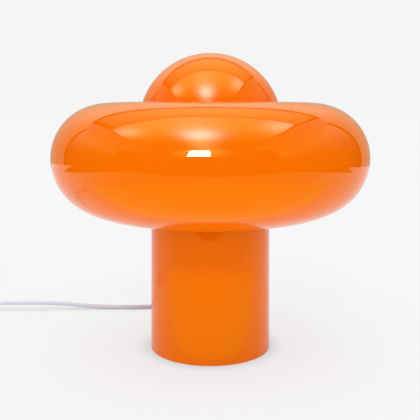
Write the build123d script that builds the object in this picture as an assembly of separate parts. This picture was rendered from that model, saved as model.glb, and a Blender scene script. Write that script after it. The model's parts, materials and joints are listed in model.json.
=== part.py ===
from build123d import *
import os
from math import atan2, cos, pi, radians, sin, sqrt, tan

# A mushroom table lamp: a lacquered drum column, a fat ring-shaped shade of two
# spun halves, and a dome that drops into the shade's top hole. Millimetres, +Z up,
# origin on the floor under the middle of the column. The front faces -Y.

# ---------------------------------------------------------------- driving sizes
# Column
column_radius = 77.0
column_wall = 1.5
column_top = 186.0
column_corner = 4.0
rim_height = 1.6

# Foot
pad_thickness = 1.0
pad_inset = 3.0
weight_top = 25.0
weight_lip_inset = 0.8
weight_fit = 0.3

# Ring shade: two tangent arcs above the widest circle and two below it
shade_radius = 203.7
shade_middle = 246.7
shade_wall = 1.5
upper_side_radius = 67.4
upper_side_angle = 67.0
upper_crown_radius = 84.0
lower_side_radius = 73.5
lower_side_angle = 62.5
lower_belly_radius = 123.0
light_slot = 15.0
hem_height = 6.0
hem_round = 1.0
neck_depth = 10.0

# Dome and the seat that it drops into
dome_past_lip = 1.0
dome_sink = 11.4
dome_wall = 1.5
dome_gap = 0.4
seat_drop = 8.48
seat_wall = 1.3
ledge_bearing = 8.0
seat_lip = 4.0
neck_fit = 0.2
tab_count = 4
tab_width = 16.0
tab_drop = 1.6

# Carrier: three legs on the column's deck and a ring that the shade rests on
leg_count = 3
leg_start = -90.0
leg_inset = 9.0
leg_radius = 4.0
stud_radius = 2.5
stud_fit = 0.1
ring_thickness = 2.0
ring_band = 8.0
ring_clearance = 4.0
carrier_pad_thickness = 1.0
carrier_pad_span = 22.0
nut_height = 4.0
nut_flats = 8.0

# Lampholder and bulb
nipple_radius = 5.0
nipple_bore = 4.1
nipple_below = 14.0
deck_washer_radius = 11.0
deck_washer_thickness = 1.5
deck_nut_height = 3.5
deck_nut_flats = 14.0
holder_radius = 19.5
holder_wall = 2.5
holder_cap_height = 16.7
holder_height = 31.0
holder_neck = 8.0
insulator_height = 7.0
shell_inner = 13.5
shell_wall = 0.6
shell_height = 22.0
terminal_offset = 11.0
bulb_radius = 30.0
bulb_length = 109.3
bulb_neck = 12.5
bulb_wall = 0.8
bulb_flare = 28.0
bulb_cap_height = 25.0
contact_height = 3.0

# Clearances
seat_gap = 0.3
thread_fit = 0.1
moving_fit = 0.3

# Cord
cord_diameter = 6.0
cord_exit_height = 18.0
boot_length = 32.0
boot_large = 7.0
boot_small = 4.4
bushing_flange = 9.5
bushing_flange_thickness = 3.0
bushing_thread = 6.0
bushing_nut_flats = 17.0
bushing_nut_height = 4.5
bushing_reach = 13.0

# Route of the cord's free stretch, from the boot to the inline switch
boot_end = column_radius + bushing_flange_thickness + boot_length
cord_line = 155.0
switch_x = -376.0
switch_length = 62.0
switch_width = 24.0
switch_wall = 2.0
cord_in_switch = 8.0
layer_rise = 6.6
cord_rest = cord_diameter / 2
switch_axis = cord_rest + layer_rise

# Coil of the length that is put away
coil_pitch = 6.5
coil_outer = 43.5
coil_x = -449.0
coil_half_turns = 6
coil_back_turns = 5
coil_tail = 28.0
coil_climb = 32.0

# Plug
plug_width = 25.0
plug_height = 14.4
plug_length = 30.0
plug_neck = 5.0
plug_boot_length = 22.0
plug_corner = 3.5
blade_pitch = 12.7
blade_length = 16.0
blade_height = 6.35
blade_thickness = 1.5
blade_root = 3.0

# Rocker
rocker_reach = 9.0
rocker_width = 10.4
rocker_pivot = 15.0
rocker_crest = 4.6
rocker_tilt = 10.0
rocker_floor = 5.0
rocker_pin = 1.5
rocker_pin_reach = 2.2
pin_fit = 0.05
ear_thickness = 2.0
ear_half = 3.4

# Small screws
weight_screw_inset = 11.5
weight_screw_radius = 2.5
weight_screw_head = 4.5
weight_screw_head_height = 5.0
bracket_thickness = 2.5
bracket_width = 18.0
bracket_depth = 15.0
bracket_rise = 14.0
switch_screw_x = 24.0
switch_screw_y = 7.0
switch_screw_radius = 1.3
switch_screw_head = 2.4
switch_boss_radius = 2.8


# ---------------------------------------------------------------- small helpers
def at(radius, height):
    """A point of a profile that is turned about the column's axis."""
    return Vector(radius, 0, height)


def arc(centre, radius, start, end):
    """An arc of a profile, from one angle to another, in degrees above the horizontal."""
    spots = [radians(a) for a in (start, (start + end) / 2, end)]
    return ThreePointArc(*[at(centre[0] + radius * cos(a), centre[1] + radius * sin(a)) for a in spots])


def turned(edges):
    """A solid of revolution from a closed profile."""
    return revolve(make_face(edges), Axis.Z)


def ring(outer, inner, low, high):
    """A plain ring, or a disc where inner is 0."""
    body = Pos(0, 0, low) * Cylinder(outer, high - low, align=(Align.CENTER, Align.CENTER, Align.MIN))
    if inner > 0:
        body -= Pos(0, 0, low - 1) * Cylinder(
            inner, high - low + 2, align=(Align.CENTER, Align.CENTER, Align.MIN)
        )
    return body


def hexagon(flats, bore, low, high):
    """A hexagon nut standing on the height low."""
    sketch = RegularPolygon(flats / 2, 6, major_radius=False)
    nut = Pos(0, 0, low) * extrude(sketch, high - low)
    return nut - ring(bore, 0, low - 1, high + 1)


def around(count, radius, shape, start=0.0):
    """Copies of a shape, spaced evenly round the column's axis."""
    return [Rot(0, 0, start + i * 360 / count) * Pos(radius, 0, 0) * shape for i in range(count)]


def save(name, *shapes):
    """Write one sub-part, as one solid or as a group of separate solids."""
    solids = [s for shape in shapes for s in shape.solids()]
    part = solids[0] if len(solids) == 1 else Compound(children=solids)
    part.label = name
    export_step(part, "parts/" + name + ".step")
    return part


# ---------------------------------------------------------------- sizes that follow
column_bore = column_radius - column_wall
deck_under = column_top - column_wall
weight_screw_circle = column_bore - weight_screw_inset
leg_circle = column_radius - leg_inset
ring_inner = leg_circle - ring_band
upper_side = (shade_radius - upper_side_radius, shade_middle)
upper_crown = (
    upper_side[0] - (upper_crown_radius - upper_side_radius) * cos(radians(upper_side_angle)),
    upper_side[1] - (upper_crown_radius - upper_side_radius) * sin(radians(upper_side_angle)),
)
lower_side = (shade_radius - lower_side_radius, shade_middle)
lower_belly = (
    lower_side[0] - (lower_belly_radius - lower_side_radius) * cos(radians(lower_side_angle)),
    lower_side[1] + (lower_belly_radius - lower_side_radius) * sin(radians(lower_side_angle)),
)
lip_radius = column_radius + light_slot
dome_radius = lip_radius + dome_past_lip
rim_drop = dome_sink + seat_gap
dome_rim = sqrt(dome_radius**2 - rim_drop**2)
seat_inner = dome_rim + dome_gap
seat_outer = seat_inner + seat_wall
neck_inner = seat_outer + neck_fit
neck_outer = neck_inner + shade_wall
neck_edge = upper_crown[1] + sqrt(upper_crown_radius**2 - (neck_inner - upper_crown[0]) ** 2)
seat_height = neck_edge - seat_drop
dome_middle = seat_height - dome_sink
seat_under = seat_height - seat_wall
carrier_ring_outer = lip_radius - ring_clearance
ledge_inner = carrier_ring_outer - ledge_bearing
carrier_ring_top = seat_under - seat_gap - carrier_pad_thickness
carrier_ring_under = carrier_ring_top - ring_thickness
holder_base = column_top + deck_washer_thickness + deck_nut_height + seat_gap
holder_joint = holder_base + holder_cap_height
insulator_top = holder_joint + insulator_height - 1.0
contact_top = insulator_top + contact_height
bulb_foot = contact_top + seat_gap


# ---------------------------------------------------------------- column and foot
def column_shell():
    """The drawn drum: an open bottom, a closed deck and a round corner between."""
    shell = ring(column_radius, 0, rim_height, column_top) - ring(column_bore, 0, rim_height - 1, deck_under)
    shell = fillet(shell.edges().group_by(Axis.Z)[-1], column_corner)
    inside = [e for e in shell.edges() if abs(e.center().Z - deck_under) < 0.01]
    shell = fillet(inside, column_corner - column_wall)
    shell -= ring(nipple_radius + stud_fit, 0, deck_under - 1, column_top + 1)
    stud_hole = ring(stud_radius + stud_fit, 0, deck_under - 1, column_top + 1)
    for hole in around(leg_count, leg_circle, stud_hole, leg_start):
        shell -= hole
    return shell - Pos(0, column_radius, cord_exit_height) * Rot(90, 0, 0) * Cylinder(
        bushing_thread + stud_fit, 4 * column_wall
    )


def weight_brackets():
    """Angle brackets welded inside the drum; each takes one of the weight's screws."""
    bend = bracket_thickness
    foot = Pos(0, 0, weight_top) * Box(
        bracket_depth, bracket_width, bend, align=(Align.MAX, Align.CENTER, Align.MIN)
    )
    leg = Pos(0, 0, weight_top) * Box(
        bend, bracket_width, bracket_rise, align=(Align.MAX, Align.CENTER, Align.MIN)
    )
    angle = Pos(column_bore, 0, 0) * (foot + leg)
    hole = Pos(weight_screw_circle, 0, 0) * ring(
        weight_screw_radius + thread_fit, 0, weight_top - 1, weight_top + bend + 1
    )
    bracket = (angle - hole) & ring(column_bore, 0, weight_top, weight_top + bracket_rise)
    return [Rot(0, 0, 30 + i * 360 / leg_count) * bracket for i in range(leg_count)]


def base_weight():
    """Cast-iron disc: fills the drum's foot, and its lip catches the drum's lower edge."""
    weight = ring(column_bore - weight_fit, 0, pad_thickness, weight_top)
    weight += ring(column_radius - weight_lip_inset, 0, pad_thickness, rim_height)
    head_seat = rim_height + weight_screw_head_height
    hole = ring(weight_screw_radius + 2 * stud_fit, 0, 0, weight_top + 1)
    hole += ring(weight_screw_head + 0.5, 0, 0, head_seat)
    for cut in around(leg_count, weight_screw_circle, hole, 30):
        weight -= cut
    notch_floor = cord_exit_height - bushing_nut_flats / 2 - 3.0
    notch = Pos(0, column_radius, notch_floor) * Box(
        26.0, column_radius, weight_top, align=(Align.CENTER, Align.MAX, Align.MIN)
    )
    return weight - notch


def weight_screws():
    """Socket-head screws from below, through the weight and into the brackets."""
    head_seat = rim_height + weight_screw_head_height
    head = ring(weight_screw_head, 2.0, rim_height, head_seat) + ring(2.0, 0, head_seat - 2.0, head_seat)
    shank = ring(weight_screw_radius, 0, head_seat, weight_top + bracket_thickness + 1.5)
    return around(leg_count, weight_screw_circle, head + shank, 30)


def foot_pad():
    """Dark foam pad, set in from the weight's lip so that the lamp seems to float."""
    return ring(column_radius - pad_inset, 0, 0, pad_thickness)


# ---------------------------------------------------------------- shade
def crown_height(radius, inset=0.0):
    """Height of the shade's crown at a radius, on the outside or inset from it."""
    return upper_crown[1] + sqrt((upper_crown_radius - inset) ** 2 - (radius - upper_crown[0]) ** 2)


def belly_height(radius, inset=0.0):
    """Height of the shade's belly at a radius, on the outside or inset from it."""
    return lower_belly[1] - sqrt((lower_belly_radius - inset) ** 2 - (radius - lower_belly[0]) ** 2)


def crown_angle(radius, inset=0.0):
    return atan2(crown_height(radius, inset) - upper_crown[1], radius - upper_crown[0]) * 180 / pi


def belly_angle(radius, inset=0.0):
    return atan2(belly_height(radius, inset) - lower_belly[1], radius - lower_belly[0]) * 180 / pi


def shade_upper():
    """Upper spun half: from the widest circle over the crown and down into the neck."""
    inset = shade_wall
    neck_end = crown_height(neck_inner) - neck_depth
    profile = [
        arc(upper_side, upper_side_radius, 0, upper_side_angle),
        arc(upper_crown, upper_crown_radius, upper_side_angle, crown_angle(neck_inner)),
        Line(at(neck_inner, crown_height(neck_inner)), at(neck_inner, neck_end)),
        Line(at(neck_inner, neck_end), at(neck_outer, neck_end)),
        Line(at(neck_outer, neck_end), at(neck_outer, crown_height(neck_outer, inset))),
        arc(upper_crown, upper_crown_radius - inset, crown_angle(neck_outer, inset), upper_side_angle),
        arc(upper_side, upper_side_radius - inset, upper_side_angle, 0),
        Line(at(shade_radius - inset, shade_middle), at(shade_radius, shade_middle)),
    ]
    half = turned(profile)
    top = crown_height(neck_inner)
    edge = [e for e in half.edges() if abs(e.center().Z - top) < 0.01 and abs(e.radius - neck_inner) < 0.01]
    return fillet(edge, hem_round)


def shade_lower():
    """Lower spun half: from the widest circle under the belly to a hem round the light slot."""
    inset = shade_wall
    hem_outer = lip_radius + inset
    low = belly_height(lip_radius)
    profile = [
        arc(lower_side, lower_side_radius, 0, -lower_side_angle),
        arc(lower_belly, lower_belly_radius, -lower_side_angle, belly_angle(lip_radius)),
        Line(at(lip_radius, low), at(lip_radius, low + hem_height)),
        Line(at(lip_radius, low + hem_height), at(hem_outer, low + hem_height)),
        Line(at(hem_outer, low + hem_height), at(hem_outer, belly_height(hem_outer, inset))),
        arc(lower_belly, lower_belly_radius - inset, belly_angle(hem_outer, inset), -lower_side_angle),
        arc(lower_side, lower_side_radius - inset, -lower_side_angle, 0),
        Line(at(shade_radius - inset, shade_middle), at(shade_radius, shade_middle)),
    ]
    half = turned(profile)
    edge = [e for e in half.edges() if abs(e.center().Z - low) < 0.01 and abs(e.radius - lip_radius) < 0.01]
    return fillet(edge, hem_round)


def seat_ring():
    """Angle-section ring welded in the neck: its ledge carries the dome and rests on the carrier."""
    profile = Polyline(
        at(ledge_inner, seat_under),
        at(seat_outer, seat_under),
        at(seat_outer, seat_height + seat_lip),
        at(seat_inner, seat_height + seat_lip),
        at(seat_inner, seat_height),
        at(ledge_inner, seat_height),
        close=True,
    )
    return turned(profile)


# ---------------------------------------------------------------- dome
def dome_cap():
    """Spun dome, cut where it stands on the seat's ledge."""
    inner = dome_radius - dome_wall
    rim = rim_drop
    outer_angle = atan2(rim, dome_rim) * 180 / pi
    inner_rim = sqrt(inner**2 - rim**2)
    inner_angle = atan2(rim, inner_rim) * 180 / pi
    middle = (0.0, dome_middle)
    profile = [
        arc(middle, dome_radius, outer_angle, 90),
        Line(at(0, dome_middle + dome_radius), at(0, dome_middle + inner)),
        arc(middle, inner, 90, inner_angle),
        Line(at(inner_rim, dome_middle + rim), at(dome_rim, dome_middle + rim)),
    ]
    return turned(profile)


def dome_tabs():
    """Bent tabs welded inside the dome's edge; they drop inside the ledge and centre the dome."""
    foot = seat_height + seat_gap
    web_outer = sqrt((dome_radius - dome_wall) ** 2 - (rim_drop + shade_wall) ** 2) - 0.1
    tab_inner = ledge_inner - 0.5 - shade_wall
    section = Polyline(
        at(tab_inner, seat_height - tab_drop),
        at(tab_inner + shade_wall, seat_height - tab_drop),
        at(tab_inner + shade_wall, foot),
        at(web_outer, foot),
        at(web_outer, foot + shade_wall),
        at(tab_inner, foot + shade_wall),
        close=True,
    )
    whole = turned(section)
    slab = Pos(0, 0, seat_height) * Box(
        2 * dome_radius, tab_width, 4 * seat_lip, align=(Align.MIN, Align.CENTER, Align.CENTER)
    )
    return [whole & (Rot(0, 0, 45 + i * 360 / tab_count) * slab) for i in range(tab_count)]


# ---------------------------------------------------------------- carrier
def carrier_leg():
    """Turned rod with a threaded stud at each end, standing on the deck."""
    leg = ring(leg_radius, 0, column_top, carrier_ring_under)
    leg += ring(stud_radius, 0, deck_under - nut_height - 1.5, column_top)
    return leg + ring(stud_radius, 0, carrier_ring_under, carrier_ring_top + nut_height + 1.0)


def leg_nuts():
    low = hexagon(nut_flats, stud_radius + stud_fit, deck_under - nut_height, deck_under)
    high = hexagon(nut_flats, stud_radius + stud_fit, carrier_ring_top, carrier_ring_top + nut_height)
    return around(leg_count, leg_circle, low, leg_start) + around(
        leg_count, leg_circle, high, leg_start
    )


def carrier_ring():
    """Flat ring on the three legs."""
    plate = ring(carrier_ring_outer, ring_inner, carrier_ring_under, carrier_ring_top)
    hole = ring(stud_radius + stud_fit, 0, carrier_ring_under - 1, carrier_ring_top + 1)
    for cut in around(leg_count, leg_circle, hole, leg_start):
        plate -= cut
    return plate


def carrier_pads():
    """Rubber pads on the ring, between the legs, that the shade's ledge rests on."""
    pad_ring = ring(
        carrier_ring_outer - 1.0,
        ledge_inner + 1.0,
        carrier_ring_top,
        carrier_ring_top + carrier_pad_thickness,
    )
    slab = Pos(0, 0, carrier_ring_top) * Box(
        2 * dome_radius, carrier_pad_span, 4, align=(Align.MIN, Align.CENTER, Align.CENTER)
    )
    return [pad_ring & (Rot(0, 0, -leg_start + i * 360 / leg_count) * slab) for i in range(leg_count)]


# ---------------------------------------------------------------- lampholder and bulb
def nipple():
    """Threaded tube through the deck; the lead runs up its bore."""
    return ring(nipple_radius, nipple_bore, column_top - nipple_below, holder_base + holder_neck)


def deck_washers():
    bore = nipple_radius + thread_fit
    top = column_top + deck_washer_thickness
    low = deck_under - deck_washer_thickness
    return [ring(deck_washer_radius, bore, column_top, top), ring(deck_washer_radius, bore, low, deck_under)]


def deck_nuts():
    bore = nipple_radius + thread_fit
    top = column_top + deck_washer_thickness
    low = deck_under - deck_washer_thickness
    upper = hexagon(deck_nut_flats, bore, top, top + deck_nut_height)
    return [upper, hexagon(deck_nut_flats, bore, low - deck_nut_height, low)]


def holder_cap():
    """Lower cap of the lampholder, screwed on the nipple, flaring to the body's width."""
    wall = holder_wall
    bore = nipple_radius + thread_fit
    neck = holder_neck
    flare = holder_base + neck / 2
    shoulder = holder_joint - neck / 2
    profile = Polyline(
        at(bore, holder_base),
        at(neck, holder_base),
        at(neck, flare),
        at(holder_radius, shoulder),
        at(holder_radius, holder_joint),
        at(holder_radius - wall, holder_joint),
        at(holder_radius - wall, shoulder + wall / 2),
        at(neck, flare + 1.5 * wall),
        at(bore, flare + 1.5 * wall),
        close=True,
    )
    return turned(profile)


def holder_insulator():
    """Disc that carries the contacts and the terminal screws."""
    disc = ring(holder_radius - holder_wall - seat_gap, 0, holder_joint - 1.0, insulator_top)
    for side in (-1, 1):
        disc -= Pos(side * terminal_offset, 0, 0) * ring(1.6, 0, holder_joint - 2.0, insulator_top - 2.0)
    return disc


def terminal_screws():
    head_top = holder_joint - 1.0
    head = ring(2.6, 0, head_top - 2.0, head_top)
    screw = head + ring(1.5, 0, head_top, insulator_top - 2.5)
    return [Pos(side * terminal_offset, 0, 0) * screw for side in (-1, 1)]


def screw_shell():
    """Thin brass cup that takes the bulb's cap."""
    outer = shell_inner + shell_wall
    cup = ring(outer, 0, insulator_top, insulator_top + shell_height)
    cup -= ring(shell_inner, 0, insulator_top + shell_wall, insulator_top + shell_height + 1)
    return cup - ring(5.0, 0, insulator_top - 1, insulator_top + 2)


def centre_contact():
    """Sprung brass tongue, drawn as a button with a round top."""
    button = ring(3.0, 0, insulator_top, contact_top)
    return fillet(button.edges().group_by(Axis.Z)[-1], 1.0)


def holder_body():
    """Outer sleeve of the lampholder, open at the top."""
    low, high = holder_joint, holder_joint + holder_height
    sleeve = ring(holder_radius, holder_radius - holder_wall, low, high)
    return fillet(sleeve.edges().group_by(Axis.Z)[-1], 0.8)


def bulb_outline(inset):
    """The bulb's outside, or its inside where inset is the wall: neck, flare and ball."""
    ball = (0.0, bulb_foot + bulb_length - bulb_radius)
    radius, neck = bulb_radius - inset, bulb_neck - inset
    low = at(neck, bulb_foot + bulb_cap_height - 4.0)
    neck_top = at(neck, bulb_foot + bulb_cap_height + 4.0)
    touch = at(radius * cos(radians(bulb_flare)), ball[1] - radius * sin(radians(bulb_flare)))
    return [Line(low, neck_top), Line(neck_top, touch), arc(ball, radius, -bulb_flare, 90)]


def bulb_glass():
    """Round opal bulb, blown thin, its open neck in the cap."""
    outside, inside = bulb_outline(0.0), bulb_outline(bulb_wall)
    crown = Line(outside[-1] @ 1, inside[-1] @ 1)
    rim = Line(outside[0] @ 0, inside[0] @ 0)
    return turned(outside + inside + [crown, rim])


def bulb_cap():
    """Thin metal screw cap, closed below except for the contact's glass."""
    outer = shell_inner - seat_gap
    inner = bulb_neck + 0.1
    low, high = bulb_foot + 4.0, bulb_foot + bulb_cap_height
    cap = ring(outer, 0, low, high) - ring(inner, 0, low + 1.0, high + 1)
    return cap - ring(8.0, 0, low - 1, low + 2)


def bulb_insulator():
    """Dark glass cone between the cap and the contact."""
    cone = Pos(0, 0, bulb_foot + 1.5) * Cone(4.0, 7.9, 3.5, align=(Align.CENTER, Align.CENTER, Align.MIN))
    return cone


def bulb_contact():
    return ring(3.8, 0, bulb_foot, bulb_foot + 1.5)


def lead_wires():
    """The lead's two cores, from its end to the terminal screws."""
    wires = []
    start = holder_base + holder_neck + 1.0
    finish = holder_joint - 4.2
    for side in (-1, 1):
        bend = Vector(side * 2.0, 0, start + 1.6)
        path = FilletPolyline(
            Vector(side * 1.4, 0, start), bend, Vector(side * terminal_offset, 0, finish), radius=0.9
        )
        wires.append(sweep(Plane(origin=path @ 0, z_dir=path % 0) * Circle(0.7), path=path))
    return wires


# ---------------------------------------------------------------- cord
def cord_bushing():
    """Moulded strain relief: thread inside the wall, flange and tapered boot outside."""
    outward = Plane(origin=(0, 0, cord_exit_height), x_dir=(1, 0, 0), z_dir=(0, 1, 0))
    thread = Cylinder(bushing_thread, bushing_reach + 1, align=(Align.CENTER, Align.CENTER, Align.MAX))
    thread = outward * Pos(0, 0, column_radius) * thread
    flange = Cylinder(
        bushing_flange, bushing_flange_thickness + 3, align=(Align.CENTER, Align.CENTER, Align.MAX)
    )
    flange = outward * Pos(0, 0, column_radius + bushing_flange_thickness) * fillet(
        flange.edges().group_by(Axis.Z)[-1], 1.0
    )
    boot = Cone(boot_large, boot_small, boot_length, align=(Align.CENTER, Align.CENTER, Align.MIN))
    for i in range(4):
        groove = boot_length * (0.22 + 0.18 * i)
        across = boot_large + (boot_small - boot_large) * groove / boot_length
        boot -= Pos(0, 0, groove) * (Cylinder(across + 1, 1.6) - Cylinder(across - 0.8, 3.0))
    boot = outward * Pos(0, 0, column_radius + bushing_flange_thickness) * boot
    saddle = flange - ring(column_radius, 0, 0, 4 * cord_exit_height)
    return thread + saddle + boot


def bushing_nut():
    """Lock nut inside the drum."""
    inward = Plane(origin=(0, 0, cord_exit_height), x_dir=(1, 0, 0), z_dir=(0, 1, 0))
    corner = bushing_nut_flats / sqrt(3)
    face = sqrt(column_bore**2 - corner**2) - 0.1
    nut = hexagon(bushing_nut_flats, bushing_thread + thread_fit, -bushing_nut_height, 0)
    return inward * Pos(0, 0, face) * nut


def tube(points):
    """A round tube along straight runs joined by the largest arcs that they allow."""
    radii = []
    for before, point, after in zip(points, points[1:], points[2:]):
        first, second = Vector(*point) - Vector(*before), Vector(*after) - Vector(*point)
        turn = radians(first.get_angle(second))
        radii.append(0.45 * min(first.length, second.length) / tan(turn / 2))
    path = FilletPolyline(*points, radius=radii)
    body = sweep(Plane(origin=path @ 0, z_dir=path % 0) * Circle(cord_diameter / 2), path=path)
    section = pi * cord_diameter**2 / 4
    print("arc radii", [round(r) for r in radii], "length", round(path.length))
    print("volume over section times length", round(body.volume / (section * path.length), 4))
    return body


def cord_free():
    """The lead on the floor: out of the boot, round to the left and along to the switch."""
    switch_face = switch_x + switch_length / 2
    return tube(
        [
            (0, boot_end, cord_exit_height),
            (0, boot_end + 24, cord_exit_height),
            (-16, boot_end + 44, 11.0),
            (-48, boot_end + 50, 4.6),
            (-88, cord_line + 3, cord_rest),
            (-135, cord_line + 1, cord_rest),
            (-180, cord_line + 3, cord_rest + 0.6),
            (-232, cord_line + 2, switch_axis - 0.8),
            (-285, cord_line - 0.6, switch_axis + 0.7),
            (switch_face + 20, cord_line, switch_axis),
            (switch_face - cord_in_switch, cord_line, switch_axis),
        ]
    )


def cord_inner():
    """The lead inside the drum, from the bushing up into the nipple."""
    start = column_radius - bushing_reach
    return tube(
        [
            (0, start - 1.0, cord_exit_height),
            (0, start - 34, cord_exit_height),
            (2, start - 62, cord_exit_height + 36),
            (3, 3, cord_exit_height + 82),
            (0, 0, column_top - 44),
            (0, 0.1, holder_base + holder_neck),
        ]
    )


def gentle(start, along, end, onward):
    """Two arcs that leave start along one direction and reach end along another."""
    start, along, end, onward = (Vector(*v) for v in (start, along, end, onward))
    span, both = end - start, along.normalized() + onward.normalized()
    a, b, c = both.dot(both) - 4, -2 * span.dot(both), span.dot(span)
    reach = -c / b if abs(a) < 1e-9 else (-b - sqrt(b * b - 4 * a * c)) / (2 * a)
    near = start + along.normalized() * reach
    far = end - onward.normalized() * reach
    middle = (near + far) / 2
    return [TangentArc(start, middle, tangent=along), TangentArc(middle, end, tangent=far - near)]


def coil_path():
    """Straight in at the upper layer, spiral in, drop a layer, spiral out, and on to the plug."""
    low, high = cord_rest, cord_rest + layer_rise
    step = coil_pitch / 2
    start = Vector(switch_x - switch_length / 2 + cord_in_switch, cord_line, high)
    here = Vector(coil_x, cord_line, high)
    parts = [Line(start, here)]
    radius, side = coil_outer, -1

    def half_turn(here, radius, side, sweep_share=1.0):
        """Left (side -1) goes down the page and right (side +1) comes back up."""
        middle = here + Vector(0, side * radius, 0)
        angle = pi * sweep_share
        spots = []
        for share in (0.5, 1.0):
            a = angle * share
            spots.append(middle + Vector(side * radius * sin(a), -side * radius * cos(a), 0))
        return ThreePointArc(here, *spots), spots[-1]

    for _ in range(coil_half_turns):
        edge, here = half_turn(here, radius, side)
        parts.append(edge)
        radius, side = radius - step, -side
    drop = Vector(here.X, here.Y + side * 2 * radius, low)
    parts += gentle(here, (side, 0, 0), drop, (-side, 0, 0))
    here, side = drop, -side
    for _ in range(coil_back_turns):
        radius += step
        edge, here = half_turn(here, radius, side)
        parts.append(edge)
        side = -side
    radius += step
    edge, here = half_turn(here, radius, side, 0.5)
    parts.append(edge)
    tail = here + Vector(0, -coil_tail, 0)
    risen = tail + Vector(0, -coil_climb, plug_height / 2 - low)
    end = risen + Vector(0, -cord_diameter, 0)
    parts.append(Line(here, tail))
    parts += gentle(tail, (0, -1, 0), risen, (0, -1, 0))
    parts.append(Line(risen, end))
    return Wire(parts), end


def least_gap(path):
    """The smallest gap between two stretches of the coil, measured on points along it."""
    step = cord_diameter / 4
    count = int(path.length / step)
    spots = [path @ (i / count) for i in range(count + 1)]
    apart = int(3 * cord_diameter / step)
    least = min(
        (spots[i] - spots[j]).length for i in range(0, count + 1, 2) for j in range(i + apart, count + 1)
    )
    return least - cord_diameter


def cord_coil():
    path, _ = coil_path()
    body = sweep(Plane(origin=path @ 0, z_dir=path % 0) * Circle(cord_diameter / 2), path=path)
    section = pi * cord_diameter**2 / 4
    print("coil length", round(path.length), "least gap", round(least_gap(path), 2))
    print("coil volume over section times length", round(body.volume / (section * path.length), 4))
    return body


# ---------------------------------------------------------------- inline switch
def switch_case():
    """Outside of the inline switch before it is parted, on the line of the cord."""
    case = Pos(switch_x, cord_line, switch_axis) * Box(switch_length, switch_width, 2 * switch_axis)
    case = fillet(case.edges().filter_by(Axis.Z), 7.0)
    return fillet(case.edges().group_by(Axis.Z)[-1] + case.edges().group_by(Axis.Z)[0], 2.0)


def switch_hollow():
    hollow = Pos(switch_x, cord_line, switch_axis) * Box(
        switch_length - 2 * switch_wall, switch_width - 2 * switch_wall, 2 * (switch_axis - switch_wall)
    )
    hollow = fillet(hollow.edges().filter_by(Axis.Z), 7.0 - switch_wall)
    lead = Pos(switch_x, cord_line, switch_axis) * Rot(0, 90, 0) * Cylinder(
        cord_diameter / 2 + thread_fit, switch_length + 2
    )
    return hollow + lead


def switch_screw_places():
    return [
        Pos(switch_x + side * switch_screw_x, cord_line + side * switch_screw_y, 0) for side in (-1, 1)
    ]


def switch_base():
    """Lower half shell, with countersunk holes for the two screws."""
    half = switch_case() - switch_hollow()
    half &= Pos(switch_x, cord_line, 0) * Box(
        2 * switch_length, 2 * switch_width, switch_axis, align=(Align.CENTER, Align.CENTER, Align.MIN)
    )
    post = ring(switch_boss_radius, 0, 1.0, switch_axis)
    hole = ring(switch_screw_radius + thread_fit, 0, -1, switch_axis + 1)
    hole += ring(switch_screw_head + thread_fit, 0, -1, 2.0)
    for place in switch_screw_places():
        half += place * post
    for place in switch_screw_places():
        half -= place * hole
    return half


def rocker_window(extra):
    return Pos(switch_x, cord_line, 2 * switch_axis) * Box(
        2 * (rocker_reach + extra), rocker_width + 2 * extra, 4 * switch_wall
    )


def switch_cover():
    """Upper half shell with the rocker's window, its two ears and the screw bosses."""
    half = switch_case() - switch_hollow()
    half &= Pos(switch_x, cord_line, switch_axis) * Box(
        2 * switch_length, 2 * switch_width, 2 * switch_axis, align=(Align.CENTER, Align.CENTER, Align.MIN)
    )
    half -= rocker_window(moving_fit)
    roof = 2 * switch_axis - switch_wall
    post = ring(switch_boss_radius, 0, switch_axis, roof + 0.5)
    hole = ring(switch_screw_radius + thread_fit, 0, switch_axis - 1, roof - 1.0)
    for place in switch_screw_places():
        half = half + place * post - place * hole
    ear = Box(2 * ear_half, ear_thickness, roof + 0.5 - rocker_pivot + ear_half, align=(Align.CENTER,) * 3)
    ear_middle = (roof + 0.5 + rocker_pivot - ear_half) / 2
    ear_place = rocker_width / 2 + 2 * moving_fit + ear_thickness / 2
    for side in (-1, 1):
        half += Pos(switch_x, cord_line + side * ear_place, ear_middle) * ear
    pin_hole = Pos(switch_x, cord_line, rocker_pivot) * Rot(90, 0, 0) * Cylinder(
        rocker_pin + pin_fit, rocker_width + 4 * ear_thickness
    )
    return half - pin_hole


def switch_screws():
    screw = ring(switch_screw_head, 0, 0.3, 2.0) + ring(switch_screw_radius, 0, 2.0, 2 * switch_axis - 4.0)
    return [place * screw for place in switch_screw_places()]


def switch_terminals():
    """Brass strips on the lower shell's floor that the two ends of the cut core meet."""
    strip = Box(11.0, 5.0, 1.0, align=(Align.CENTER, Align.CENTER, Align.MIN))
    tower = Box(1.0, 5.0, 3.2, align=(Align.CENTER, Align.CENTER, Align.MIN))
    strips = []
    for side in (-1, 1):
        bent = strip + Pos(-side * 5.0, 0, 0) * tower
        strips.append(Pos(switch_x + side * 12.0, cord_line, switch_wall) * bent)
    return strips


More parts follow.
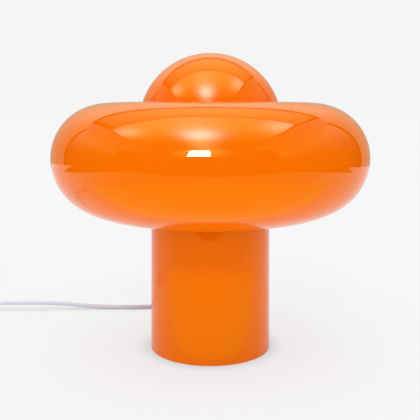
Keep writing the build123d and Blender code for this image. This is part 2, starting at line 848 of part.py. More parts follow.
def switch_rocker():
    """Rocker with its two pins, tipped to the off side."""
    reach, crest = rocker_reach, rocker_crest
    rise = tan(radians(rocker_tilt))
    slope = 1 + rise * rise
    edge_x = (-crest * rise + sqrt(reach**2 * slope - crest**2)) / slope
    floor_x = sqrt(reach**2 - rocker_floor**2)
    outline = [
        Line((0, 0, crest), (edge_x, 0, crest + rise * edge_x)),
        ThreePointArc((edge_x, 0, crest + rise * edge_x), (reach, 0, 0), (floor_x, 0, -rocker_floor)),
        Line((floor_x, 0, -rocker_floor), (-floor_x, 0, -rocker_floor)),
        ThreePointArc((-floor_x, 0, -rocker_floor), (-reach, 0, 0), (-edge_x, 0, crest + rise * edge_x)),
        Line((-edge_x, 0, crest + rise * edge_x), (0, 0, crest)),
    ]
    body = extrude(make_face(outline), rocker_width / 2, dir=(0, 1, 0), both=True)
    body += Rot(90, 0, 0) * Cylinder(rocker_pin, rocker_width + 2 * rocker_pin_reach)
    return Pos(switch_x, cord_line, rocker_pivot) * Rot(0, rocker_tilt, 0) * body


# ---------------------------------------------------------------- plug
def plug_frame():
    """A plane at the coil's end, its Z along the cord and its Y up."""
    _, end = coil_path()
    return Plane(origin=end, x_dir=(1, 0, 0), z_dir=(0, -1, 0))


def plug_body():
    """Flat moulded plug with its tapered boot."""
    boot = loft([Circle(boot_small), Pos(0, 0, plug_boot_length) * Circle(plug_neck + 1.2)])
    root = plug_boot_length
    shoulder = RectangleRounded(plug_width * 0.62, plug_height * 0.86, plug_corner)
    face = RectangleRounded(plug_width, plug_height, plug_corner)
    grip = loft([Pos(0, 0, root) * shoulder, Pos(0, 0, root + plug_length * 0.45) * face])
    head = Pos(0, 0, root + plug_length * 0.45) * extrude(face, plug_length * 0.55)
    body = boot + grip + head
    for side in (-1, 1):
        slot = Box(blade_thickness + 0.1, blade_height + 0.1, 2 * blade_root)
        body -= Pos(side * blade_pitch / 2, 0, root + plug_length) * slot
    return plug_frame() * body


def plug_blades():
    root = plug_boot_length + plug_length
    blade = Box(
        blade_thickness,
        blade_height,
        blade_length + blade_root,
        align=(Align.CENTER, Align.CENTER, Align.MIN),
    )
    blade = fillet(blade.edges().group_by(Axis.Z)[-1].filter_by(Axis.X), 1.5)
    return [plug_frame() * Pos(side * blade_pitch / 2, 0, root - blade_root) * blade for side in (-1, 1)]


# ---------------------------------------------------------------- write the sub-parts
def main():
    os.makedirs("parts", exist_ok=True)
    save("column_shell", column_shell())
    save("weight_brackets", *weight_brackets())
    save("base_weight", base_weight())
    save("weight_screws", *weight_screws())
    save("foot_pad", foot_pad())
    save("shade_upper", shade_upper())
    save("shade_lower", shade_lower())
    save("seat_ring", seat_ring())
    save("dome_cap", dome_cap())
    save("dome_tabs", *dome_tabs())
    for i, leg in enumerate(around(leg_count, leg_circle, carrier_leg(), leg_start)):
        save("carrier_leg_" + str(i + 1), leg)
    save("leg_nuts", *leg_nuts())
    save("carrier_ring", carrier_ring())
    save("carrier_pads", *carrier_pads())
    save("nipple", nipple())
    save("deck_washers", *deck_washers())
    save("deck_nuts", *deck_nuts())
    save("holder_cap", holder_cap())
    save("holder_insulator", holder_insulator())
    save("terminal_screws", *terminal_screws())
    save("screw_shell", screw_shell())
    save("centre_contact", centre_contact())
    save("holder_body", holder_body())
    save("lead_wires", *lead_wires())
    save("bulb_glass", bulb_glass())
    save("bulb_cap", bulb_cap())
    save("bulb_insulator", bulb_insulator())
    save("bulb_contact", bulb_contact())
    save("cord_bushing", cord_bushing())
    save("bushing_nut", bushing_nut())
    save("cord_inner", cord_inner())
    save("cord_free", cord_free())
    save("cord_coil", cord_coil())
    save("switch_base", switch_base())
    save("switch_cover", switch_cover())
    save("switch_screws", *switch_screws())
    save("switch_terminals", *switch_terminals())
    save("switch_rocker", switch_rocker())
    save("plug_body", plug_body())
    save("plug_blades", *plug_blades())


main()
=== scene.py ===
import bmesh
import bpy
import json
from math import atan2, cos, degrees, pi, radians, sin, sqrt
from mathutils import Matrix, Vector


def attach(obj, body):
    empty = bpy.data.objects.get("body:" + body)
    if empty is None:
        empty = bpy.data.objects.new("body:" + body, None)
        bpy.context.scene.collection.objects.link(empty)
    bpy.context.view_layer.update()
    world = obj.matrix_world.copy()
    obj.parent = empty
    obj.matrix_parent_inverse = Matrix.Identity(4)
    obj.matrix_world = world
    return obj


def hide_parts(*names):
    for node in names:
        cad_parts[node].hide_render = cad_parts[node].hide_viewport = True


# A mushroom table lamp in glossy orange stove lacquer: a drum column, a fat
# ring-shaped shade and a dome that drops into the shade's top hole. Metres, +Z up,
# the front faces -Y. The lamp's own sizes are the same as in the part's source.

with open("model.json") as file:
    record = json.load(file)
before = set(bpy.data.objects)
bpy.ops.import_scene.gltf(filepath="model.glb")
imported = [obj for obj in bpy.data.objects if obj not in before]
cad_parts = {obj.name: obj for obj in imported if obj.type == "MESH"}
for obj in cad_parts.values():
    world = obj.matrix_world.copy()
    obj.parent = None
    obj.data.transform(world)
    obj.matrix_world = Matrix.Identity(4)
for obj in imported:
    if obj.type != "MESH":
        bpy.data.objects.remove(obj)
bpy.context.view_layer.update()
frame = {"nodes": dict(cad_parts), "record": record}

MM = 0.001
STEPS_AROUND = 288
CRISP_EDGE = 40

# Drum column, in millimetres
column_radius, column_wall, column_top = 77.0, 1.5, 186.0
column_corner, column_foot = 4.0, 0.3
bead_proud, bead_top, bead_end = 0.06, 1.3, 2.2
nipple_hole, leg_hole, leg_circle, leg_bearings = 5.1, 2.6, 68.0, (-90, 30, 150)
cord_exit_height, bushing_hole, drill_depth = 18.0, 6.1, 8.0

# Ring shade and dome, in millimetres and degrees
shade_radius, shade_middle, sheet_wall = 203.7, 246.7, 1.5
upper_side_radius, upper_side_angle, upper_crown_radius = 67.4, 67.0, 84.0
lower_side_radius, lower_side_angle, lower_belly_radius = 73.5, 62.5, 123.0
lip_radius, hem_height, neck_radius, neck_depth = 92.0, 6.0, 94.162, 10.0
dome_radius, dome_middle, dome_rim = 93.0, 287.6, 11.7

# The neck's rounded edge as (outwards, down from the edge), and the rolled hem as
# (outwards, up from its lowest point)
neck_round, neck_round_end = ((0.0, 2.6), (0.12, 1.0), (0.42, 0.3)), 1.0
hem_roll = ((0.55, 0.12), (0.12, 0.55), (0.0, 1.3))

# Mains lead, in metres: its middle from the boot to the inline switch, which is out of
# the drum's back, down, round to the left, along the floor and slightly up to the switch
lead_run = [
    (0, 0.112, 0.018),
    (0, 0.136, 0.018),
    (-0.016, 0.156, 0.011),
    (-0.048, 0.162, 0.0046),
    (-0.088, 0.158, 0.003),
    (-0.135, 0.156, 0.003),
    (-0.180, 0.158, 0.0036),
    (-0.232, 0.157, 0.0088),
    (-0.285, 0.1544, 0.0103),
    (-0.325, 0.155, 0.0096),
    (-0.353, 0.155, 0.0096),
]
lead_diameter, lead_line = 0.006, 0.155
upper_layer, lower_layer = 0.0096, 0.003
coil_outer, coil_step = 0.0435, 0.00325
out_of_switch = (-0.399, -0.412, -0.427, -0.441, -0.449)
# The last stretch, up to the plug: millimetres along, and height above the floor
up_to_plug = ((14, 3.0), (28, 3.0), (38, 3.6), (48, 5.4), (58, 7.0), (66, 7.2))

# Camera of the photograph: level, with its horizon above the middle of the frame
camera_distance, camera_height = 0.8778, 0.3033
focal_pixels, horizon_row, axis_column, frame_pixels = 670.8, 112.25, 210.3, 420


# ---------------------------------------------------------------- small helpers
def linear(code):
    """An sRGB hex colour as the linear values that the shaders take."""
    channels = [int(code[i : i + 2], 16) / 255 for i in (1, 3, 5)]
    return [c / 12.92 if c <= 0.04045 else ((c + 0.055) / 1.055) ** 2.4 for c in channels] + [1.0]


def add(tree, kind, links=None, **settings):
    """A shader node with its settings, socket values and incoming links."""
    node = tree.nodes.new(kind)
    for name, value in settings.items():
        setattr(node, name, value)
    for name, value in (links or {}).items():
        socket = node.inputs[name]
        if isinstance(value, bpy.types.NodeSocket):
            tree.links.new(value, socket)
        else:
            socket.default_value = value
    return node


def finish_of(name, surface):
    """A new material whose Principled shader takes the given socket values."""
    material = bpy.data.materials.new(name)
    material.use_nodes = True
    tree = material.node_tree
    shader = tree.nodes["Principled BSDF"]
    for socket, value in surface.items():
        shader.inputs[socket].default_value = value
    return material, tree, shader


def set_camera():
    data = bpy.data.cameras.new("camera")
    data.sensor_width = 36.0
    data.sensor_fit = "HORIZONTAL"
    data.lens = data.sensor_width * focal_pixels / frame_pixels
    data.shift_y = (horizon_row - frame_pixels / 2) / frame_pixels
    data.shift_x = (frame_pixels / 2 - axis_column) / frame_pixels
    camera = bpy.data.objects.new("camera", data)
    camera.location = (0, -camera_distance, camera_height)
    camera.rotation_euler = (radians(90), 0, 0)
    bpy.context.scene.collection.objects.link(camera)
    bpy.context.scene.camera = camera


# ---------------------------------------------------------------- mains lead
def half_turn(points, here, radius, side, low=None, share=1.0, count=14):
    """Points of half a turn of the coil, on its left (-1) or right (1). It sinks to the
    height in low, if there is one, and share is how much of the half turn is laid."""
    middle = here + Vector((0, side * radius, 0))
    for i in range(1, count + 1):
        angle = pi * share * i / count
        spot = middle + Vector((side * radius * sin(angle), -side * radius * cos(angle), 0))
        if low is not None:
            spot.z = here.z + (low - here.z) * (1 - cos(angle)) / 2
        points.append(spot)
    return points[-1].copy()


def coil_points():
    """Out of the switch, three turns in, down a layer, and out again to the plug."""
    points = [Vector((x, lead_line, upper_layer)) for x in out_of_switch]
    here, radius, side = points[-1].copy(), coil_outer, -1
    for _ in range(6):
        here = half_turn(points, here, radius, side)
        radius, side = radius - coil_step, -side
    here = half_turn(points, here, radius, side, low=lower_layer)
    side = -side
    for _ in range(5):
        radius += coil_step
        here = half_turn(points, here, radius, side)
        side = -side
    here = half_turn(points, here, radius + coil_step, side, share=0.5, count=7)
    for along, height in up_to_plug:
        points.append(Vector((here.x, here.y - along * MM, height * MM)))
    return points


def lead_curve(name, points, jacket):
    """A round lead along one smooth open spline."""
    data = bpy.data.curves.new(name, "CURVE")
    data.dimensions = "3D"
    data.resolution_u = 8
    data.bevel_depth = lead_diameter / 2
    data.bevel_resolution = 5
    data.use_fill_caps = True
    spline = data.splines.new("NURBS")
    spline.points.add(len(points) - 1)
    for point, spot in zip(spline.points, points):
        point.co = (*spot, 1)
    spline.order_u = 3
    spline.use_endpoint_u = True
    data.materials.append(jacket)
    lead = bpy.data.objects.new(name, data)
    bpy.context.scene.collection.objects.link(lead)
    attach(lead, "base")
    return lead


# ---------------------------------------------------------------- turned sheet metal
def arc_points(centre, radius, start, end, step=2.0):
    """Points of a profile's arc, in degrees above the horizontal, both ends included."""
    count = max(2, round(abs(end - start) / step))
    angles = [radians(start + (end - start) * i / count) for i in range(count + 1)]
    return [(centre[0] + radius * cos(a), centre[1] + radius * sin(a)) for a in angles]


def slope(centre, radius, across):
    """The angle of an arc where it is so far across from the axis, on its upper side."""
    return degrees(atan2(sqrt(radius**2 - (across - centre[0]) ** 2), across - centre[0]))


def wider_centre(side, side_radius, radius, angle, way):
    """Centre of the wider arc that carries on from a side arc, upwards (1) or down (-1)."""
    reach, turn = radius - side_radius, radians(angle)
    return side[0] - reach * cos(turn), side[1] - way * reach * sin(turn)


def turned_piece(name, profile, body, replaced, materials, is_lining=None):
    """A closed shell from a profile in (radius, height) that is spun about the lamp's axis."""
    mesh = bmesh.new()
    spots = [mesh.verts.new((radius * MM, 0, height * MM)) for radius, height in profile]
    on_axis = {v for v in spots if abs(v.co.x) < 1e-9}
    loop = zip(spots, spots[1:] + spots[:1])
    edges = [mesh.edges.new(pair) for pair in loop if not on_axis.issuperset(pair)]
    bmesh.ops.spin(
        mesh,
        geom=spots + edges,
        cent=(0, 0, 0),
        axis=(0, 0, 1),
        dvec=(0, 0, 0),
        angle=2 * pi,
        steps=STEPS_AROUND,
        use_merge=True,
        use_duplicate=False,
    )
    bmesh.ops.remove_doubles(mesh, verts=mesh.verts, dist=1e-6)
    bmesh.ops.recalc_face_normals(mesh, faces=mesh.faces)
    for face in mesh.faces:
        face.smooth = True
        if is_lining and is_lining(face.calc_center_median()):
            face.material_index = 1
    for edge in mesh.edges:
        edge.smooth = edge.calc_face_angle(0.0) < radians(CRISP_EDGE)
    data = bpy.data.meshes.new(name)
    mesh.to_mesh(data)
    mesh.free()
    for material in materials:
        data.materials.append(material)
    piece = bpy.data.objects.new(name, data)
    bpy.context.scene.collection.objects.link(piece)
    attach(piece, body)
    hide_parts(*replaced)
    return piece


def ring_shade(outside, inside):
    """Both spun halves as one seamless ring: neck, crown, sides, belly and rolled hem."""
    wall = sheet_wall
    upper_side = (shade_radius - upper_side_radius, shade_middle)
    lower_side = (shade_radius - lower_side_radius, shade_middle)
    upper_crown = wider_centre(
        upper_side, upper_side_radius, upper_crown_radius, upper_side_angle, 1
    )
    lower_belly = wider_centre(
        lower_side, lower_side_radius, lower_belly_radius, lower_side_angle, -1
    )
    neck_edge = upper_crown[1] + sqrt(upper_crown_radius**2 - (neck_radius - upper_crown[0]) ** 2)
    low = lower_belly[1] - sqrt(lower_belly_radius**2 - (lip_radius - lower_belly[0]) ** 2)
    neck_out, hem_out = neck_radius + wall, lip_radius + wall

    # Outside, from the neck over the crown and down to the hem
    crown_start = slope(upper_crown, upper_crown_radius, neck_radius + neck_round_end)
    belly_end = -slope(lower_belly, lower_belly_radius, hem_out)
    profile = [(neck_radius, neck_edge - neck_depth)]
    profile += [(neck_radius + out, neck_edge - down) for out, down in neck_round]
    profile += arc_points(upper_crown, upper_crown_radius, crown_start, upper_side_angle)
    profile += arc_points(upper_side, upper_side_radius, upper_side_angle, 0)[1:]
    profile += arc_points(lower_side, lower_side_radius, 0, -lower_side_angle)[1:]
    profile += arc_points(lower_belly, lower_belly_radius, -lower_side_angle, belly_end)[1:]
    profile += [(lip_radius + out, low + up) for out, up in hem_roll]
    profile += [(lip_radius, low + hem_height), (hem_out, low + hem_height)]

    # Inside, one wall in, and back up to the neck
    belly_start = -slope(lower_belly, lower_belly_radius - wall, hem_out)
    crown_end = slope(upper_crown, upper_crown_radius - wall, neck_out)
    profile += arc_points(lower_belly, lower_belly_radius - wall, belly_start, -lower_side_angle)
    profile += arc_points(lower_side, lower_side_radius - wall, -lower_side_angle, 0)[1:]
    profile += arc_points(upper_side, upper_side_radius - wall, 0, upper_side_angle)[1:]
    profile += arc_points(upper_crown, upper_crown_radius - wall, upper_side_angle, crown_end)[1:]
    profile.append((neck_out, neck_edge - neck_depth))

    upper = (upper_side, upper_side_radius, upper_side_angle, upper_crown, upper_crown_radius)
    lower = (lower_side, lower_side_radius, lower_side_angle, lower_belly, lower_belly_radius)

    def is_lining(spot):
        across, height = sqrt(spot.x**2 + spot.y**2) / MM, spot.z / MM
        side, side_radius, angle, wide, wide_radius = upper if height > shade_middle else lower
        past_side = atan2(abs(height - side[1]), across - side[0]) > radians(angle)
        centre, radius = (wide, wide_radius) if past_side else (side, side_radius)
        deep = radius - sqrt((across - centre[0]) ** 2 + (height - centre[1]) ** 2)
        return deep > wall * 0.8 and across > max(neck_out, hem_out) - 0.1

    halves = ("shade_upper", "shade_lower")
    turned_piece("ring_shade", profile, "shade", halves, (outside, inside), is_lining)


def dome(outside, inside):
    """Spun dome with a closed crown, cut level where it stands on the seat."""
    middle, inner_radius, step = (0.0, dome_middle), dome_radius - sheet_wall, 1.5
    outer_rim = degrees(atan2(dome_rim, sqrt(dome_radius**2 - dome_rim**2)))
    inner_rim = degrees(atan2(dome_rim, sqrt(inner_radius**2 - dome_rim**2)))
    skin = arc_points(middle, dome_radius, outer_rim, 90, step)
    skin[-1] = (0.0, dome_middle + dome_radius)
    lining = arc_points(middle, inner_radius, 90, inner_rim, step)
    lining[0] = (0.0, dome_middle + inner_radius)

    def is_lining(spot):
        reach = (spot - Vector((0, 0, dome_middle * MM))).length
        return reach < (dome_radius - sheet_wall * 0.7) * MM

    turned_piece("dome", skin + lining, "dome", ("dome_cap",), (outside, inside), is_lining)


def drum(outside):
    """The drawn drum: straight wall, round corner, flat deck, and its bored holes."""
    bore, under = column_radius - column_wall, column_top - column_wall
    shoulder, deck = column_top - column_corner, column_radius - column_corner
    # Its rolled lower edge stands a hair proud and hides the lip of the weight
    bead = column_radius + bead_proud
    # Rings beside the corner and round the nipple keep the flats flat
    beside, round_nipple = 3.0, 6.0
    profile = [(bead, column_foot), (bead, column_foot + bead_top)]
    profile += [(column_radius, column_foot + bead_end), (column_radius, shoulder - beside)]
    profile += arc_points((deck, shoulder), column_corner, 0, 90, 9.0)
    profile += [(deck - beside, column_top), (round_nipple, column_top), (0.0, column_top)]
    profile += [(0.0, under), (round_nipple, under), (deck - beside, under)]
    profile += arc_points((deck, shoulder), column_corner - column_wall, 90, 0, 15.0)
    profile += [(bore, shoulder - beside), (bore, column_foot)]
    piece = turned_piece("drum", profile, "base", ("column_shell",), (outside,))

    # Drilled for the nipple, the three legs and the lead's bushing
    at_deck = Matrix.Translation((0, 0, column_top * MM))
    holes = [(at_deck, nipple_hole)]
    for bearing in leg_bearings:
        outwards = Matrix.Translation((leg_circle * MM, 0, 0))
        holes.append((Matrix.Rotation(radians(bearing), 4, "Z") @ outwards @ at_deck, leg_hole))
    at_back = Matrix.Translation((0, column_radius * MM, cord_exit_height * MM))
    holes.append((at_back @ Matrix.Rotation(radians(90), 4, "X"), bushing_hole))
    drill = bmesh.new()
    for matrix, radius in holes:
        bmesh.ops.create_cone(
            drill,
            cap_ends=True,
            segments=48,
            radius1=radius * MM,
            radius2=radius * MM,
            depth=drill_depth * MM,
            matrix=matrix,
        )
    data = bpy.data.meshes.new("drill")
    drill.to_mesh(data)
    drill.free()
    tool = bpy.data.objects.new("drill", data)
    bpy.context.scene.collection.objects.link(tool)
    drilled = piece.modifiers.new("drilled", "BOOLEAN")
    drilled.operation, drilled.solver, drilled.object = "DIFFERENCE", "EXACT", tool
    bored = piece.evaluated_get(bpy.context.evaluated_depsgraph_get())
    finished = bpy.data.meshes.new_from_object(bored)
    piece.modifiers.clear()
    piece.data = finished
    bpy.data.objects.remove(tool)


# ---------------------------------------------------------------- finishes
def stove_lacquer():
    """Sprayed and stoved gloss enamel on spun sheet: a deep clean orange under a nearly
    mirror-smooth face, whose reflections turn warm over so deep a colour, with the faint
    waviness of sprayed paint every 17 mm."""
    wave_mm, depth_mm = 16.7, 0.4
    material, tree, shader = finish_of(
        "gloss_stove_lacquer_orange",
        {
            "Base Color": linear("#F56D00"),
            "Roughness": 0.02,
            "IOR": 1.47,
            "Specular Tint": linear("#F0FF6C"),
        },
    )
    where = add(tree, "ShaderNodeTexCoord").outputs["Object"]
    pattern = {"Vector": where, "Scale": 1000.0 / wave_mm, "Detail": 1.0}
    wave = add(tree, "ShaderNodeTexNoise", pattern).outputs["Fac"]
    relief = {"Height": wave, "Strength": 0.05, "Distance": depth_mm * MM}
    bump = add(tree, "ShaderNodeBump", relief)
    tree.links.new(bump.outputs["Normal"], shader.inputs["Normal"])
    return material


def grained(name, shades, haze, grain_mm, strength, depth_mm, surface=None, cells=False):
    """A finish whose colour, roughness and relief follow one grain of a real size: two near
    shades, two roughness values, and the strength and depth of the relief."""
    material, tree, shader = finish_of(name, surface or {})
    pattern = {"Vector": add(tree, "ShaderNodeTexCoord").outputs["Object"]}
    pattern["Scale"] = 1000.0 / grain_mm
    if cells:
        grain = add(tree, "ShaderNodeTexVoronoi", pattern).outputs[0]
    else:
        pattern |= {"Detail": 3.0, "Roughness": 0.6}
        grain = add(tree, "ShaderNodeTexNoise", pattern).outputs[0]
    ramp = add(tree, "ShaderNodeValToRGB", {"Fac": grain})
    for stop, position, shade in zip(ramp.color_ramp.elements, (0.3, 0.7), shades):
        stop.position, stop.color = position, linear(shade)
    tree.links.new(ramp.outputs["Color"], shader.inputs["Base Color"])
    spread = add(tree, "ShaderNodeMapRange", {"Value": grain, "To Min": haze[0], "To Max": haze[1]})
    tree.links.new(spread.outputs["Result"], shader.inputs["Roughness"])
    relief = {"Height": grain, "Strength": strength, "Distance": depth_mm * MM}
    bump = add(tree, "ShaderNodeBump", relief)
    tree.links.new(bump.outputs["Normal"], shader.inputs["Normal"])
    return material


def rolled_aluminium():
    """Thin drawn aluminium with the bulb's rolled screw thread. The thread's ribs stand
    3.6 mm apart and are drawn twice as coarse, so that they show."""
    ribs_mm, haze_mm, depth_mm = 2 * 3.6, 1.11, 1.2
    # The wave texture repeats every 2 pi / 20 of its own units
    wave_period = 2 * pi / 20
    material, tree, shader = finish_of(
        "drawn_aluminium", {"Base Color": linear("#D9DBDD"), "Metallic": 1.0}
    )
    where = add(tree, "ShaderNodeTexCoord").outputs["Object"]
    ribs = add(
        tree,
        "ShaderNodeTexWave",
        {"Vector": where, "Scale": 1000.0 / ribs_mm * wave_period, "Distortion": 0.0},
        wave_type="BANDS",
        bands_direction="Z",
        wave_profile="SIN",
    ).outputs["Fac"]
    pattern = {"Vector": where, "Scale": 1000.0 / haze_mm, "Detail": 2.0}
    haze = add(tree, "ShaderNodeTexNoise", pattern).outputs[0]
    spread = add(tree, "ShaderNodeMapRange", {"Value": haze, "To Min": 0.2, "To Max": 0.38})
    tree.links.new(spread.outputs["Result"], shader.inputs["Roughness"])
    bump = add(tree, "ShaderNodeBump", {"Height": ribs, "Strength": 0.9, "Distance": depth_mm * MM})
    tree.links.new(bump.outputs["Normal"], shader.inputs["Normal"])
    return material


def finishes():
    """One finish for each material slot of the record, from what the real piece is."""
    metal = {"Metallic": 1.0}
    opal = {
        "IOR": 1.5,
        "Subsurface Weight": 0.4,
        "Subsurface Radius": (1.0, 0.95, 0.9),
        "Subsurface Scale": 0.004,
    }
    lacquer = stove_lacquer()
    return {
        "orange_lacquer": lacquer,
        "seat_lacquer": lacquer,
        # Satin white enamel that lines the shade and throws the bulb's light down: sprayed
        # thinner than the outside, so its skin is drier and shows a fine 2 mm orange peel
        "lining": grained(
            "satin_enamel_white", ("#EDE9E0", "#F1EDE4"), (0.38, 0.52), 2.0, 0.12, 0.2
        ),
        # Sand-cast iron under black stoving paint: a 1.5 mm sand grain, dull
        "iron": grained("cast_iron_black", ("#18191A", "#242526"), (0.5, 0.72), 1.5, 0.35, 0.3),
        # Bright zinc plate: cool grey with a faint cloudy bloom 6 mm across
        "zinc": grained(
            "zinc_plated_steel", ("#C3C7CC", "#D5D8DB"), (0.2, 0.36), 6.0, 0.03, 0.05, metal
        ),
        # Closed-cell foam rubber: black, matt, cells of 0.9 mm
        "foam": grained(
            "foam_rubber_black", ("#0D0D0D", "#191919"), (0.85, 0.98), 0.9, 0.5, 0.2, cells=True
        ),
        # Die-cut rubber sheet with talc-dulled 1 mm grain
        "pad_rubber": grained(
            "sheet_rubber_black", ("#141414", "#202020"), (0.6, 0.8), 1.0, 0.2, 0.1
        ),
        # Compression-moulded phenolic: near black, glossy, with a faint flow mottle 5 mm across
        "phenolic": grained(
            "phenolic_black", ("#15110F", "#1F1A17"), (0.22, 0.32), 5.0, 0.03, 0.05
        ),
        # Stamped brass strip: a rolling haze of 2 mm
        "brass": grained(
            "stamped_brass", ("#CF9F4E", "#DDB267"), (0.2, 0.34), 2.0, 0.05, 0.05, metal
        ),
        "cap_metal": rolled_aluminium(),
        # Opal glass, flashed white: it scatters inside, under a fire-polished skin
        "opal_glass": grained(
            "opal_glass_white", ("#F3F0EA", "#F8F6F2"), (0.08, 0.14), 9.0, 0.01, 0.05, opal
        ),
        # Extruded flexible PVC: white, a drawn skin with 3 mm ripples. Its cool cast is painted
        # light that cancels the orange light the lamp throws on it
        "cord_jacket": grained(
            "extruded_pvc_white",
            ("#D2D6DC", "#D9DDE2"),
            (0.42, 0.55),
            3.0,
            0.08,
            0.08,
            {"Specular IOR Level": 0.25},
        ),
        # Thin PVC core insulation, warm brown
        "core_jacket": grained(
            "core_insulation_brown", ("#6E3A22", "#7C452B"), (0.4, 0.5), 1.5, 0.05, 0.05
        ),
        # Injection-moulded ABS with a spark-eroded 0.7 mm texture
        "switch_plastic": grained(
            "moulded_abs_white", ("#E9E8EC", "#F1F0F3"), (0.28, 0.4), 0.7, 0.12, 0.06
        ),
    }


def dress(slots):
    """Give every CAD node that still shows the finish of its slot."""
    slot_of = {row["node"]: row["material_slot"] for row in frame["record"]["subparts"]}
    for name, node in frame["nodes"].items():
        if not node.hide_render:
            node.data.materials.clear()
            node.data.materials.append(slots[slot_of[name]])


# ---------------------------------------------------------------- studio
def card(name, faces, material, reflected_only=True):
    """Flat cards of the studio, given by their corners. Most show in reflections alone."""
    mesh = bmesh.new()
    for corners in faces:
        mesh.faces.new([mesh.verts.new(corner) for corner in corners])
    data = bpy.data.meshes.new(name)
    mesh.to_mesh(data)
    mesh.free()
    data.materials.append(material)
    panel = bpy.data.objects.new(name, data)
    bpy.context.scene.collection.objects.link(panel)
    if reflected_only:
        panel.visible_camera = panel.visible_diffuse = panel.visible_shadow = False
        panel.visible_transmission = panel.visible_volume_scatter = False


def flat(height, *corners):
    """Corners of a level card at one height."""
    return [(x, y, height) for x, y in corners]


def walls(*ends, low=-0.01, high):
    """Upright cards along a line on the floor."""
    return [[(*a, low), (*b, low), (*b, high), (*a, high)] for a, b in zip(ends, ends[1:])]


def lit(name, level, glows=()):
    """A card's own light: an even level, and glows that fall off from a middle, each given
    as (colour, middle, spread), with the spread in metres."""
    material = bpy.data.materials.new(name)
    material.use_nodes = True
    tree = material.node_tree
    tree.nodes.clear()
    total = (level, level, level)
    for colour, middle, spread in glows:
        away = add(tree, "ShaderNodeTexCoord").outputs["Object"]
        for vector, operation in ((middle, "SUBTRACT"), (spread, "DIVIDE")):
            away = add(tree, "ShaderNodeVectorMath", {0: away, 1: vector}, operation=operation)
            away = away.outputs[0]
        square = add(tree, "ShaderNodeVectorMath", {0: away, 1: away}, operation="DOT_PRODUCT")
        square = square.outputs["Value"]
        falling = add(tree, "ShaderNodeMath", {0: square, 1: -1.0}, operation="MULTIPLY")
        share = add(tree, "ShaderNodeMath", {0: falling.outputs[0]}, operation="EXPONENT")
        part = {0: colour, "Scale": share.outputs[0]}
        part = add(tree, "ShaderNodeVectorMath", part, operation="SCALE").outputs[0]
        total = add(tree, "ShaderNodeVectorMath", {0: part, 1: total}, operation="ADD").outputs[0]
    light = {"Color": total if glows else (*total, 1), "Strength": 1.0}
    emission = add(tree, "ShaderNodeEmission", light)
    add(tree, "ShaderNodeOutputMaterial", {"Surface": emission.outputs[0]})
    return material


def seen_directly(tree):
    """1 for a camera, glossy or transmission ray, which all see the pale background."""
    path = add(tree, "ShaderNodeLightPath").outputs
    seen = path["Is Camera Ray"]
    for kind in ("Is Glossy Ray", "Is Transmission Ray"):
        seen = add(tree, "ShaderNodeMath", {0: seen, 1: path[kind]}, operation="MAXIMUM").outputs[0]
    return seen


def paper_floor():
    """Seamless studio paper. For the rays that see it directly, most of its look is its own
    even pale tone carrying a painted shadow, darkened by occlusion where the lamp stands
    over it, and the rest is its lit, shadowed surface."""
    own_tone_share, half_width = 0.88, 40.0
    # The paper's faint blue-green tint is painted light: it cancels the orange light that the lamp
    # throws on the paper
    paper, tree, shader = finish_of(
        "studio_paper_white",
        {"Base Color": linear("#EEF4F5"), "Roughness": 1.0, "Specular IOR Level": 0.0},
    )
    # Painted shadow in the paper's emitted tone, from occlusion: the soft shade round the lamp, and
    # the dark contact line where it touches the paper
    painted_shadow = []
    for reach, darkest, lightest in ((0.15, 0.8, 1.01), (0.02, 0.62, 1.0)):
        open_share = add(tree, "ShaderNodeAmbientOcclusion", {"Distance": reach}, samples=8)
        span = {"Value": open_share.outputs["AO"], "To Min": darkest, "To Max": lightest}
        painted_shadow.append(add(tree, "ShaderNodeMapRange", span).outputs[0])
    level = {0: painted_shadow[0], 1: painted_shadow[1]}
    level = add(tree, "ShaderNodeMath", level, operation="MULTIPLY").outputs[0]
    # The emitted tone's strength is the painted shadow's level
    tone = add(tree, "ShaderNodeEmission", {"Color": linear("#F6F5F5"), "Strength": level})
    shown = {0: seen_directly(tree), 1: own_tone_share}
    shown = add(tree, "ShaderNodeMath", shown, operation="MULTIPLY").outputs[0]
    both = {0: shown, 1: shader.outputs[0], 2: tone.outputs[0]}
    both = add(tree, "ShaderNodeMixShader", both).outputs[0]
    tree.links.new(both, tree.nodes["Material Output"].inputs["Surface"])
    corners = [(x * half_width, y * half_width) for x, y in ((-1, -1), (1, -1), (1, 1), (-1, 1))]
    card("studio_floor", [flat(0, *corners)], paper, reflected_only=False)


def studio_world():
    """A pale backdrop for the rays that see it directly, and a softer fill for the rest."""
    world = bpy.data.worlds.new("studio")
    bpy.context.scene.world = world
    world.use_nodes = True
    tree = world.node_tree
    backdrop = tree.nodes["Background"]
    backdrop.inputs["Color"].default_value = linear("#F5F5F5")
    fill = add(tree, "ShaderNodeBackground", {"Color": (1, 1, 1, 1), "Strength": 0.78})
    both = {0: seen_directly(tree), 1: fill.outputs[0], 2: backdrop.outputs[0]}
    both = add(tree, "ShaderNodeMixShader", both).outputs[0]
    tree.links.new(both, tree.nodes["World Output"].inputs["Surface"])


def studio_lamps():
    """A broad soft light overhead, a narrower one from the front, and the light that the
    table in front of the lamp throws up under the shade."""
    for name, energy, spread, tilt, turn in (
        ("soft_overhead", 0.75, 50, 16, -10),
        ("front_softbox_lamp", 0.36, 7, 54, -8),
    ):
        light = bpy.data.lights.new(name, "SUN")
        light.energy, light.angle = energy, radians(spread)
        lamp = bpy.data.objects.new(name, light)
        lamp.rotation_euler = (radians(tilt), 0, radians(turn))
        lamp.visible_glossy = False
        bpy.context.scene.collection.objects.link(lamp)

    light = bpy.data.lights.new("table_bounce", "AREA")
    light.shape, light.size, light.size_y, light.energy = "RECTANGLE", 2.2, 0.4, 1.05
    lamp = bpy.data.objects.new("table_bounce", light)
    lamp.location, lamp.rotation_euler = (0, -0.41, 0.002), (pi, 0, 0)
    lamp.visible_camera = lamp.visible_glossy = lamp.visible_transmission = False
    bpy.context.scene.collection.objects.link(lamp)


